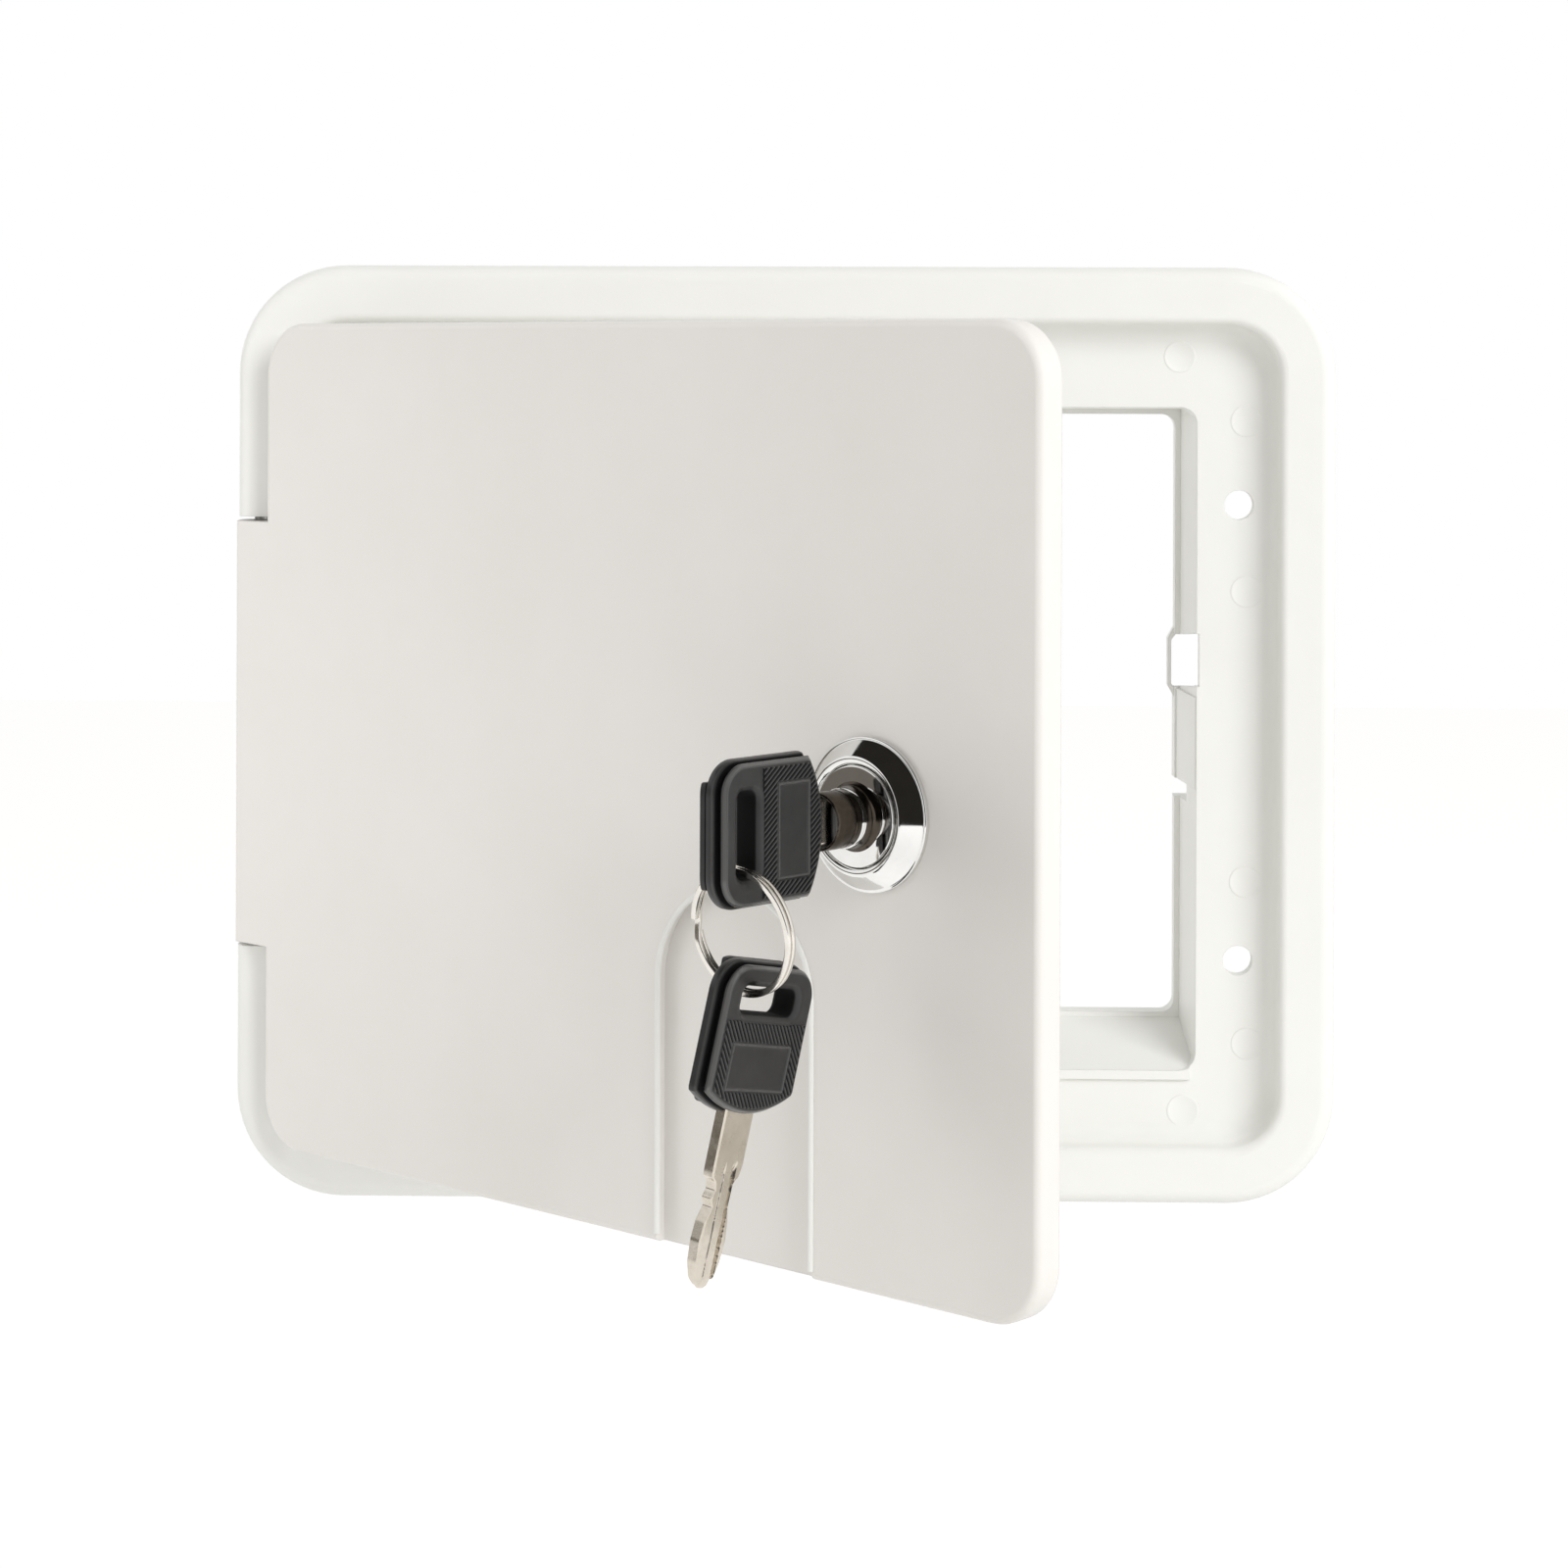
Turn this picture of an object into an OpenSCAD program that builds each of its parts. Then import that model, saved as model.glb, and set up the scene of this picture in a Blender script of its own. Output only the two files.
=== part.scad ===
// Power cord hatch for caravans and campers, one wall frame with a lockable side-hinged lid.
// Millimetres. X right, Z up, the wall is the plane y = 0 and the hatch faces -Y.
// Plan coordinates inside front(): x right, y up, z forward from the wall.

/* [Frame] */
// width of the frame over its outer edges
frame_w = 185; // [150:1:260]
// height of the frame over its outer edges
frame_h = 157.4; // [130:0.2:230]
// forward height of the raised rim
rim_front = 9.0; // [6:0.1:14]
// width of the raised rim
rim_w = 9.5; // [7:0.1:14]
// radius of the outer corners
corner_r = 18.2; // [16:0.1:24]
// rounding of the rim's outer front edge
outer_edge_r = 2.6; // [0.5:0.1:2.8]
// rounding of the rim's inner front edge
inner_edge_r = 1.4; // [0.3:0.1:1.5]
// thickness of the flat floor the lid closes over
floor_t = 2.6; // [1.5:0.1:3.5]
// fillet between recess wall and floor
recess_fillet = 3.2; // [1:0.1:4]
// wall thickness of the hollow rim
rim_wall = 2.3; // [1.5:0.1:3]

/* [Opening] */
// floor between the recess wall and the opening, left and right
side_land = 13.3; // [10:0.1:24]
// floor above the opening
top_land = 14.1; // [8:0.1:24]
// floor below the opening
bottom_land = 12; // [8:0.1:24]
// how far the collar reaches behind the wall plane
collar_d = 18; // [12:0.5:19]
// wall thickness of the collar
collar_wall = 2; // [1.5:0.1:3]
// inward draft of side and top walls
collar_draft = 1.2; // [0:0.1:2]
// rise of the drain sill from front to back
sill_rise = 5.7; // [1:0.1:8]
// inward step of the lip at the back of the collar
lip_step = 0.9; // [0.5:0.1:2]
// depth of that lip
lip_d = 4; // [2:0.5:6]
// height of the bead along the lower front edge
bead_h = 0.7; // [0.3:0.1:1.2]
// width of that bead
bead_w = 1.6; // [1:0.1:3]
// screw centres from the recess wall, left and right
screw_in = 6.2; // [5.5:0.1:12]
// screw centres from the recess wall, above and below
screw_end = 30.6; // [10:0.2:40]
// radius of the four screw holes
screw_r = 2.5; // [1.5:0.1:3]

// height of the keeper pad the cam turns behind
pad_h = 15.6; // [10:0.2:20]
// height of the window above the keeper pad
window_h = 9; // [5:0.2:12]
// height of the notch below the keeper pad
notch_below = 3.2; // [2:0.1:5]
// how deep the window bites into the floor's edge
window_bite = 0.45; // [0.1:0.05:1]
// thickness of the strap across the back of the window
strap_t = 0.6; // [0.4:0.05:1.5]

/* [Hinge] */
// rest angle of the open lid
lid_open = 40.9; // [0:0.01:110]
// hinge axis from the frame's left edge
hinge_x = 3.3; // [3:0.1:4.5]
// hinge axis forward of the wall
hinge_z = 3.8; // [3.7:0.1:4.5]
// length of the hinge knuckle
knuckle_l = 71; // [40:1:90]
// outer radius of the knuckle round the pin
knuckle_r = 3.5; // [2.8:0.1:3.6]
// gap at each end of the knuckle
knuckle_gap = 0.7; // [0.4:0.1:1.5]
// hinge pin radius
pin_r = 1.2; // [0.8:0.1:1.6]
// length of the pin inside the frame at each end
pin_seat = 9; // [4:0.5:14]
// radial clearance of the pin in the lid
pin_clear = 0.06; // [0.03:0.01:0.1]

/* [Lid] */
// lid's left edge from the hinge axis
lid_left = 7.8; // [7.4:0.1:9]
// gap between closed lid and recess wall
lid_gap = 0.5; // [0.3:0.1:1.5]
// lid thickness over its edges
lid_t = 5.6; // [4:0.1:5.6]
// front skin thickness
lid_skin = 2.5; // [1.8:0.1:3]
// front face forward of the hinge axis
lid_face = 5.7; // [5.7:0.1:6.5]
// corner radius of the lid
lid_corner_r = 8.6; // [5:0.1:12]
// rounding of the lid's front edge
lid_edge_r = 1.2; // [0.4:0.1:1.8]
// step in all round the lid's back, clear of the recess fillet
back_step = 0.9; // [0.4:0.1:2]
// height of that step
back_step_h = 1.1; // [0.4:0.1:2]
// centre of the moulded arch from the lock's centre
arch_in = 26.3; // [22:0.1:60]
// width of the arch
arch_w = 31.2; // [20:0.2:36]
// top of the arch above the lid's lower edge
arch_h = 54.8; // [30:0.2:62]
// depth of the arch below the face
arch_d = 2; // [1:0.1:2.4]

/* [Lock] */
// lock centre from the lid's free edge
lock_edge = 30.3; // [26:0.1:40]
// lock centre above the frame's centre
lock_z = -1; // [-12:0.1:12]
// radius of the chrome flange
flange_r = 11; // [10:0.1:12.5]
// radius of the threaded lock body
lock_body_r = 8.9; // [8:0.1:9.4]
// clearance of the lock body in the lid
body_clear = 0.15; // [0.05:0.01:0.3]
// height of the flange's crest in front of the lid
crest_h = 3.5; // [2:0.1:4.5]
// radius of the plug's round face inside the crest
face_r = 7.2; // [6.6:0.1:7.6]
// radius of the plug's nose
nose_r = 4.1; // [4:0.05:5]
// radius of the turning plug
plug_r = 6; // [5:0.1:6.4]
// running clearance of the plug
plug_clear = 0.08; // [0.03:0.01:0.1]
// how far the plug's nose stands in front of the lid's face
nose_l = 8.4; // [4:0.1:10]
// cam length from the lock's centre
cam_l = 22; // [20:0.5:26]
// cam thickness
cam_t = 2; // [1.5:0.1:2.5]
// gap between collar and cam when the lid is locked
cam_gap = 0.7; // [0.4:0.1:1.5]

// radius of the cam's round end
cam_r = 7.5; // [6:0.1:9]
// radius of the hexagon nut over its corners
nut_r = 12.7; // [11:0.1:14]
// thickness of the nut
nut_t = 3.5; // [2:0.1:3.6]

/* [Keys] */
// key head length along the key
head_l = 21; // [16:0.2:28]
// key head width across the key
head_w = 20.3; // [16:0.1:26]
// key head thickness
head_t = 4.4; // [3:0.1:5]
// key blade thickness
blade_t = 1.8; // [1.2:0.1:2.2]
// key blade width
blade_w = 6.4; // [5:0.1:6.6]
// length of blade in front of the head
blade_l = 23.5; // [20:0.5:30]
// length of the blade's root inside the head
blade_in = 2; // [1:0.1:4]
// bare blade between the nose and the key head
head_gap = 3.2; // [1:0.1:5]
// radius of the curved end of the head
head_end_r = 19; // [14:0.5:40]
// height of the head's slot for the ring, along the key
slot_w = 3.8; // [2.5:0.1:5]
// width of that slot across the key
slot_h = 12; // [8:0.1:13.5]
// strip of head outside the slot
slot_strip = 3.3; // [2.5:0.1:6]
// outer radius of the split ring
ring_r = 9; // [8:0.05:12]
// radial thickness of the ring
ring_t = 0.9; // [0.6:0.1:1.4]
// width of the ring's band
ring_w = 1.5; // [1:0.1:2]
// play between the ring and each key head
ring_gap = 0.45; // [0.2:0.05:0.6]
// tilt of the ring, its bottom towards the lid
ring_tilt = 8; // [0:1:20]
// outward tilt of the hanging key
spare_tilt = 12; // [0:1:25]
// sideways lean of the hanging key
spare_lean = 5; // [0:0.5:6]
// turn of the hanging key about its length
spare_turn = 5; // [0:0.5:8]
// ring from the middle of the hanging key's slot
spare_off = 3.4; // [0:0.1:4]
// hanging key from the middle of the ring
spare_side = -0.4; // [-1:0.1:1]

/* [Hidden] */
$fn = 32;
hw = frame_w / 2;
hh = frame_h / 2;
cx = hw - corner_r;
cy = hh - corner_r;
pin_x = hinge_x - hw;
rec_w = hw - rim_w;
rec_h = hh - rim_w;
open_half_w = rec_w - side_land;
open_top = rec_h - top_land;
open_bottom = rec_h - bottom_land;
screw_x = rec_w - screw_in;
screw_y = rec_h - screw_end;
floor_in = rim_w + 4;
lid_w = rec_w - lid_gap - pin_x - lid_left;
lid_half_h = rec_h - lid_gap;
lid_back = lid_face - lid_t;
lock_x = lid_left + lid_w - lock_edge;
arch_x = lock_x - arch_in;
knuckle_h = knuckle_l / 2;
notch_h = knuckle_h + knuckle_gap;
keeper_z = lock_z - 0.9;
pad_top = keeper_z + pad_h / 2;
pad_low = keeper_z - pad_h / 2;
cam_front = -collar_d - cam_gap - hinge_z;
body_len = lid_face - cam_front;
head_n = lid_face + nose_l + head_gap;
slot_y = head_l - slot_strip - slot_w;
hang_z = lock_z - slot_h / 2;
hang_n = head_n + slot_y + slot_w / 2;
ring_c_x = lock_x;
ring_in = ring_r - ring_t;
ring_drop = sqrt(ring_in * ring_in - head_t * head_t / 4);
ring_mid = ring_r - ring_t / 2;
ring_z = hang_z + ring_gap - ring_drop + ring_mid;
foot_z = ring_z - 2 * ring_mid * cos(ring_tilt);
foot_n = hang_n - 2 * ring_mid * sin(ring_tilt);
spare_z = foot_z + ring_mid - ring_drop + ring_gap;

module front() {
    rotate([90, 0, 0]) children();
}

module on_lid() {
    front() translate([pin_x, 0, hinge_z]) rotate([0, -lid_open, 0]) children();
}

module rounded(x0, x1, y0, y1, r) {
    translate([x0 + r, y0]) square([x1 - x0 - 2 * r, y1 - y0]);
    translate([x0, y0 + r]) square([x1 - x0, y1 - y0 - 2 * r]);
    for (p = [[x0 + r, y0 + r], [x1 - r, y0 + r], [x1 - r, y1 - r], [x0 + r, y1 - r]])
        translate(p) circle(r = r);
}

// rim section, a inward from the outer edge and b forward from the wall
module rim_section() {
    inner = corner_r - 0.6;
    difference() {
        union() {
            square([rim_w, rim_front]);
            square([inner, floor_t]);
            difference() {
                translate([rim_w - 0.01, floor_t - 0.01])
                    square([recess_fillet + 0.01, recess_fillet + 0.01]);
                translate([rim_w + recess_fillet, floor_t + recess_fillet])
                    circle(r = recess_fillet, $fn = 32);
            }
        }
        difference() {
            translate([-1, rim_front - outer_edge_r]) square([outer_edge_r + 1, outer_edge_r + 1]);
            translate([outer_edge_r, rim_front - outer_edge_r]) circle(r = outer_edge_r, $fn = 24);
        }
        difference() {
            translate([rim_w - inner_edge_r, rim_front - inner_edge_r])
                square([inner_edge_r + 1, inner_edge_r + 1]);
            translate([rim_w - inner_edge_r, rim_front - inner_edge_r]) circle(r = inner_edge_r, $fn = 20);
        }
        translate([rim_wall, -1]) square([rim_w - 2 * rim_wall, rim_front - rim_wall + 1]);
    }
}

module rim_straight(length) {
    translate([0, length / 2, 0]) rotate([90, 0, 0]) linear_extrude(length) rim_section();
}

module rim_corner() {
    rotate_extrude(angle = 90, $fn = 48) translate([corner_r, 0]) mirror([1, 0]) rim_section();
}

module rim() {
    translate([-hw, 0, 0]) rim_straight(2 * cy);
    translate([hw, 0, 0]) rotate([0, 0, 180]) rim_straight(2 * cy);
    translate([0, hh, 0]) rotate([0, 0, -90]) rim_straight(2 * cx);
    translate([0, -hh, 0]) rotate([0, 0, 90]) rim_straight(2 * cx);
    translate([cx, cy, 0]) rim_corner();
    translate([-cx, cy, 0]) rotate([0, 0, 90]) rim_corner();
    translate([-cx, -cy, 0]) rotate([0, 0, 180]) rim_corner();
    translate([cx, -cy, 0]) rotate([0, 0, 270]) rim_corner();
}

// tapered tunnel from z1 (front) to z0 (back), grown outward by g
function taper(z) = (floor_t - z) / (floor_t + collar_d - lip_d);

module tunnel(z0, z1, g) {
    fw = open_half_w - collar_draft * taper(z1) + g;
    bw = open_half_w - collar_draft * taper(z0) + g;
    ft = open_top - 0.4 * collar_draft * taper(z1) + g;
    bt = open_top - 0.4 * collar_draft * taper(z0) + g;
    fb = -open_bottom + sill_rise * taper(z1) - g;
    bb = -open_bottom + sill_rise * taper(z0) - g;
    intersection() {
        translate([0, hh, 0]) rotate([90, 0, 0]) linear_extrude(frame_h)
            polygon([[-fw, z1], [-bw, z0], [bw, z0], [fw, z1]]);
        translate([-hw, 0, 0]) rotate([90, 0, 90]) linear_extrude(frame_w)
            polygon([[fb, z1], [bb, z0], [bt, z0], [ft, z1]]);
        translate([0, 0, z0 - 1]) linear_extrude(z1 - z0 + 2)
            rounded(-open_half_w - g, open_half_w + g, -open_bottom - g, open_top + g, 2.8 + g);
    }
}

module lip_hole() {
    w = open_half_w - collar_draft - lip_step;
    t = open_top - 0.4 * collar_draft - lip_step;
    b = -open_bottom + sill_rise + lip_step;
    translate([0, 0, -collar_d - 1]) linear_extrude(lip_d + 2) rounded(-w, w, b, t, 2.4);
}

module keeper() {
    w = open_half_w - collar_draft - lip_step;
    translate([0, pad_top, 0]) rotate([90, 0, 0]) linear_extrude(pad_h)
        polygon([[open_half_w + 0.4, floor_t], [open_half_w - 0.2, floor_t - 0.4],
            [w - 0.1, -collar_d], [open_half_w + 0.4, -collar_d]]);
}

// side window for the cam, its upper and lower faces slope with the draw of the mould
module window() {
    slope = 1.7;
    translate([open_half_w - 4, 0, 0]) rotate([90, 0, 90]) linear_extrude(8)
        polygon([[pad_top, -collar_d - 1], [pad_top + slope, 0.4], [pad_top + slope + window_h, 0.4],
            [pad_top + window_h, -collar_d - 1]]);
    translate([open_half_w - 4, pad_top + slope + 0.2, 0]) linear_extrude(floor_t + 1)
        square([4 + window_bite, window_h - 0.1]);
}

module strap() {
    w = open_half_w - collar_draft - lip_step;
    b = w - 1.1;
    h = window_h / 2 + 0.8;
    translate([0, pad_top + window_h / 2, -collar_d]) linear_extrude(2.6)
        polygon([[w, -h - 0.8], [b, -h + 1.2], [b, h - 1.2], [w, h + 0.8], [w + 1.2, h + 0.8],
            [b + strap_t, h - 1.5], [b + strap_t, -h + 1.5], [w + 1.2, -h - 0.8]]);
}

module frame() {
    color("#f3f2ec") front() difference() {
        union() {
            difference() {
                union() {
                    rim();
                    linear_extrude(floor_t)
                        rounded(-hw + floor_in, hw - floor_in, -hh + floor_in, hh - floor_in,
                            corner_r - floor_in);
                    tunnel(-collar_d, 1, collar_wall);
                    translate([-open_half_w + 1, -open_bottom - bead_w, floor_t - 0.5])
                        linear_extrude(bead_h + 0.5)
                        square([2 * open_half_w - 2, bead_w + 2]);
                    for (s = [-1, 1])
                        translate([rim_wall - hw - 0.5, s * (notch_h + 6.5) - 6.5, 0])
                        linear_extrude(rim_front - rim_wall + 0.5)
                        square([rim_w - 2 * rim_wall + 1, 13]);
                }
                tunnel(-collar_d + lip_d, floor_t + 3, 0);
                lip_hole();
                window();
                translate([open_half_w - 4, pad_low - notch_below, -collar_d - 1])
                    linear_extrude(collar_d - 6) square([9, notch_below]);
            }
            keeper();
            strap();
        }
        for (sx = [-1, 1], sy = [-1, 1])
            translate([sx * screw_x, sy * screw_y, -1]) cylinder(r = screw_r, h = floor_t + 2);
        translate([-hw - 1, -notch_h, -1]) linear_extrude(rim_front + 2)
            square([hinge_x + knuckle_r + 2.4, 2 * notch_h]);
        translate([-hw - 1, -notch_h, floor_t]) linear_extrude(rim_front)
            square([rim_w + recess_fillet + 1.1, 2 * notch_h]);
        for (s = [-1, 1])
            translate([pin_x, s * (notch_h + pin_seat / 2), hinge_z]) rotate([90, 0, 0])
            cylinder(r = pin_r + 0.03, h = pin_seat + 0.4, center = true);
    }
}

module hinge_pin() {
    color("#b9bcc0") front() translate([pin_x, 0, hinge_z]) rotate([90, 0, 0])
        cylinder(r = pin_r, h = 2 * (notch_h + pin_seat) - 0.4, center = true);
}

// section across the knuckle, u along the lid and n along its normal
module knuckle_section() {
    bx = 0.9;
    by = lid_face - 1.2;
    br = 1.2;
    d = sqrt(bx * bx + by * by);
    t = atan2(by, bx) + acos((knuckle_r - br) / d);
    circle(r = knuckle_r);
    translate([bx, by]) circle(r = br);
    polygon([[knuckle_r * cos(t), knuckle_r * sin(t)], [bx + br * cos(t), by + br * sin(t)],
        [bx, lid_face], [lid_left + 2, lid_face], [lid_left + 2, lid_back + 0.6],
        [1.5, lid_back + 0.6], [0, 0]]);
}

module lid_plate(z0, z1, inset) {
    translate([0, 0, z0]) linear_extrude(z1 - z0)
        rounded(lid_left + inset, lid_left + lid_w - inset, -lid_half_h + inset,
            lid_half_h - inset, lid_corner_r - inset);
}

module lid_shell() {
    r = lid_edge_r;
    x0 = lid_left;
    x1 = lid_left + lid_w;
    c = lid_corner_r;
    y = lid_half_h;
    lid_plate(lid_back, lid_back + back_step_h + 0.1, back_step);
    lid_plate(lid_back + back_step_h, lid_face - r, 0);
    lid_plate(lid_back, lid_face, r);
    for (s = [-1, 1]) {
        translate([x0 + c, s * (y - r), lid_face - r]) rotate([0, 90, 0])
            cylinder(r = r, h = x1 - x0 - 2 * c);
        translate([s > 0 ? x1 - r : x0 + r, y - c, lid_face - r]) rotate([90, 0, 0])
            cylinder(r = r, h = 2 * (y - c));
    }
    for (p = [[x0 + c, -y + c, 180], [x1 - c, -y + c, 270], [x1 - c, y - c, 0], [x0 + c, y - c, 90]])
        translate([p[0], p[1], lid_face - r]) rotate([0, 0, p[2]])
        rotate_extrude(angle = 90, $fn = 40) translate([c - r, 0]) circle(r = r);
}

module arch_shape(grow) {
    r = arch_w / 2 + grow;
    translate([arch_x - r, -lid_half_h - 1]) square([2 * r, arch_h - arch_w / 2 + 1]);
    translate([arch_x, -lid_half_h + arch_h - arch_w / 2]) circle(r = r, $fn = 64);
}

module lid() {
    color("#e9e6df") on_lid() difference() {
        union() {
            difference() {
                lid_shell();
                difference() {
                    lid_plate(lid_back - 1, lid_face - lid_skin, 2.2);
                    translate([0, 0, lid_back - 2]) linear_extrude(lid_t) intersection() {
                        arch_shape(2);
                        translate([0, -lid_half_h]) square([frame_w, arch_h + 2]);
                    }
                    translate([lock_x, lock_z, lid_back - 2]) cylinder(r = nut_r + 1.3, h = lid_t);
                    for (s = [-1, 1])
                        translate([lid_left, s * (knuckle_h - 8) - 1, lid_back - 2])
                        linear_extrude(lid_t) square([30, 2]);
                    translate([lid_left, -knuckle_h, lid_back - 2])
                        linear_extrude(lid_t) square([5, knuckle_l]);
                }
                translate([arch_x - arch_w / 2, 0, lid_face - arch_d]) linear_extrude(arch_d + 1)
                    translate([arch_w / 2 - arch_x, 0]) arch_shape(0);
                translate([0, 0, lid_back - 3]) linear_extrude(3 + lid_t - arch_d - 2)
                    intersection() {
                        arch_shape(-0.1);
                        translate([0, -lid_half_h + 2.2]) square([frame_w, arch_h - 4]);
                    }
            }
            translate([0, knuckle_h, 0]) rotate([90, 0, 0]) linear_extrude(knuckle_l) knuckle_section();
        }
        translate([0, 0, 0]) rotate([90, 0, 0])
            cylinder(r = pin_r + pin_clear, h = knuckle_l + 2, center = true);
        translate([lock_x, lock_z, -9]) cylinder(r = lock_body_r + body_clear, h = 20);
    }
}

module lock_housing() {
    bore = plug_r + plug_clear;
    r1 = flange_r - 1.1;
    r2 = face_r + plug_clear;
    seat = crest_h - 1.4;
    color("#d9dbdd") on_lid() translate([lock_x, lock_z, lid_face]) difference() {
        union() {
            rotate_extrude($fn = 64) polygon([[0, 0], [flange_r, 0], [flange_r, 0.4],
                [flange_r - 0.2, 0.8], [flange_r - 0.6, 1], [r1, 1], [r2 + 1.25, crest_h - 0.25],
                [r2 + 1, crest_h], [r2 + 0.65, crest_h], [r2, crest_h - 0.6], [r2, seat], [0, seat]]);
            translate([0, 0, -body_len + 1.2]) cylinder(r = lock_body_r, h = body_len);
        }
        translate([0, 0, -body_len]) cylinder(r = bore, h = body_len + 5);
        for (s = [-1, 1])
            translate([s * (lock_body_r + 0.6) - 2, -10, -body_len]) cube([4, 20, body_len - 5]);
    }
}

module lock_nut() {
    color("#c6c2b4") on_lid() translate([lock_x, lock_z, lid_back - nut_t - 0.1]) difference() {
        cylinder(r = nut_r, h = nut_t, $fn = 6);
        translate([0, 0, -1]) cylinder(r = lock_body_r + 0.05, h = nut_t + 2);
    }
}

module lock_plug() {
    c = crest_h;
    keyway = blade_l + nose_l;
    color("#cfd1d3") on_lid() translate([lock_x, lock_z, lid_face]) difference() {
        union() {
            translate([0, 0, -body_len + 1.4]) cylinder(r = plug_r, h = body_len - 1.4 + c - 0.5);
            rotate_extrude($fn = 64) polygon([[0, c - 1.3], [face_r, c - 1.3], [face_r, c - 0.5],
                [face_r - 0.35, c - 0.15], [nose_r, c + 0.1], [nose_r, nose_l - 0.5],
                [nose_r - 0.5, nose_l], [0, nose_l]]);
            translate([0, 0, -body_len - cam_t - 0.4]) intersection() {
                cylinder(r = 4, h = cam_t + 2);
                translate([-3, -3, 0]) cube([6, 6, cam_t + 2]);
            }
        }
        translate([-blade_t / 2 - 0.08, -blade_w / 2 - 0.1, nose_l + 1 - keyway])
            cube([blade_t + 0.16, blade_w + 0.2, keyway]);
        translate([0, 0, -body_len - cam_t - 1]) cylinder(r = 1.55, h = 5.4);
    }
}

module latch_cam() {
    color("#bdbfc2") on_lid() translate([lock_x, lock_z, cam_front - cam_t]) difference() {
        union() {
            cylinder(r = cam_r, h = cam_t);
            translate([2.5 - cam_r, 0, 0]) cube([2 * cam_r - 5, cam_l - 2, cam_t]);
            translate([-3, 0, 0]) cube([6, cam_l, cam_t]);
            for (s = [-1, 1])
                translate([s * (cam_r - 4.5), cam_l - 2, 0]) cylinder(r = 2, h = cam_t);
        }
        translate([0, 0, -1]) linear_extrude(cam_t + 2) intersection() {
            circle(r = 4.06);
            square([6.12, 6.12], center = true);
        }
    }
}

module cam_screw() {
    color("#c9cacc") on_lid() translate([lock_x, lock_z, cam_front - cam_t - 0.4]) difference() {
        union() {
            translate([0, 0, -2.4]) cylinder(r1 = 3.2, r2 = 3.9, h = 2.4);
            translate([0, 0, -0.5]) cylinder(r = 1.5, h = 5);
        }
        translate([-2.4, -0.4, -2.5]) cube([4.8, 0.8, 1.3]);
        translate([-0.4, -2.4, -2.5]) cube([0.8, 4.8, 1.3]);
    }
}

// key blade outline, pointing to -y from the head's inner edge at y = 0
module blade_outline() {
    h = blade_w / 2;
    l = blade_l / 23.5;
    polygon([[-h, blade_in], [h, blade_in], [h, -8.5 * l], [h - 1, -10 * l], [h - 1.4, -11.2 * l],
        [h - 0.8, -12.6 * l], [h - 1.9, -14 * l], [h - 1.9, -15.2 * l], [h - 0.9, -16.8 * l],
        [h - 0.7, -18.6 * l], [h - 1, -20.5 * l], [h - 2.6, -22.8 * l], [0.4 - h / 2, -blade_l],
        [-h + 0.9, -22.5 * l], [-h + 0.2, -20.1 * l], [-h + 0.8, -16 * l], [-h + 0.9, -13 * l],
        [-h + 0.1, -11.4 * l], [-h + 0.1, -8.5 * l]]);
}

module key_blade_shape() {
    difference() {
        translate([0, 0, -blade_t / 2]) linear_extrude(blade_t) blade_outline();
        for (s = [-1, 1])
            translate([-0.9 + s * 0.9, -blade_l - 1, s > 0 ? blade_t / 2 - 0.45 : -blade_t / 2 - 0.5])
            cube([0.9, blade_l - 6.5, 0.95]);
    }
}

// key head lying in its own plane, slot towards +y, blade towards -y
module head_outline(g) {
    w = head_w / 2 - g;
    l = head_l - g;
    r = 0.22 * head_w - g;
    intersection() {
        union() {
            translate([-w, 1.6 + g]) square([2 * w, l - 1.6 - g - r]);
            translate([-w + r, g]) square([2 * w - 2 * r, l - g]);
            for (s = [-1, 1])
                translate([s * (w - r), l - r]) circle(r = r);
        }
        translate([0, head_end_r + g]) circle(r = head_end_r, $fn = 96);
    }
}

module key_head_shape() {
    t = head_t / 2;
    e = head_t / 11;
    difference() {
        union() {
            translate([0, 0, -t]) linear_extrude(3.25 * e) head_outline(e);
            translate([0, 0, -t + 3 * e]) linear_extrude(1.5 * e) head_outline(2.5 * e);
            translate([0, 0, -t + 4.25 * e]) linear_extrude(4 * e) head_outline(0);
            translate([0, 0, t - 3 * e]) linear_extrude(3 * e) head_outline(4 * e);
        }
        translate([0, 0, -head_t]) linear_extrude(2 * head_t)
            rounded(-slot_h / 2, slot_h / 2, slot_y, slot_y + slot_w, 1);
        translate([-blade_w / 2, -blade_in, -blade_t / 2]) cube([blade_w, 2 * blade_in, blade_t]);
    }
}

// first key: head and blade plane stands upright and square to the lid
module in_lock() {
    on_lid() translate([lock_x, lock_z, head_n]) rotate([0, -90, 0]) rotate([0, 0, -90]) children();
}

module key_blade() {
    color("#c9c3b4") in_lock() key_blade_shape();
}

module key_head() {
    color("#232325") in_lock() key_head_shape();
}

module key_ring() {
    color("#cfc9bb") on_lid() translate([ring_c_x, ring_z, hang_n])
        rotate([ring_tilt, 0, 0]) translate([0, -ring_mid, 0])
        rotate_extrude($fn = 64) rounded(ring_in, ring_r, -ring_w / 2, ring_w / 2, 0.35);
}

// the hanging key, tilted outward, leaning sideways and turned a little on the ring
module on_ring() {
    on_lid() translate([ring_c_x + spare_side, spare_z, foot_n]) rotate([-spare_tilt, 0, 0])
        rotate([0, 0, -spare_lean]) rotate([0, spare_turn - 90, 0])
        translate([-spare_off, -slot_y - slot_w, 0]) children();
}

module spare_key_blade() {
    color("#c9c3b4") on_ring() key_blade_shape();
}

module spare_key_head() {
    color("#232325") on_ring() key_head_shape();
}

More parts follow.
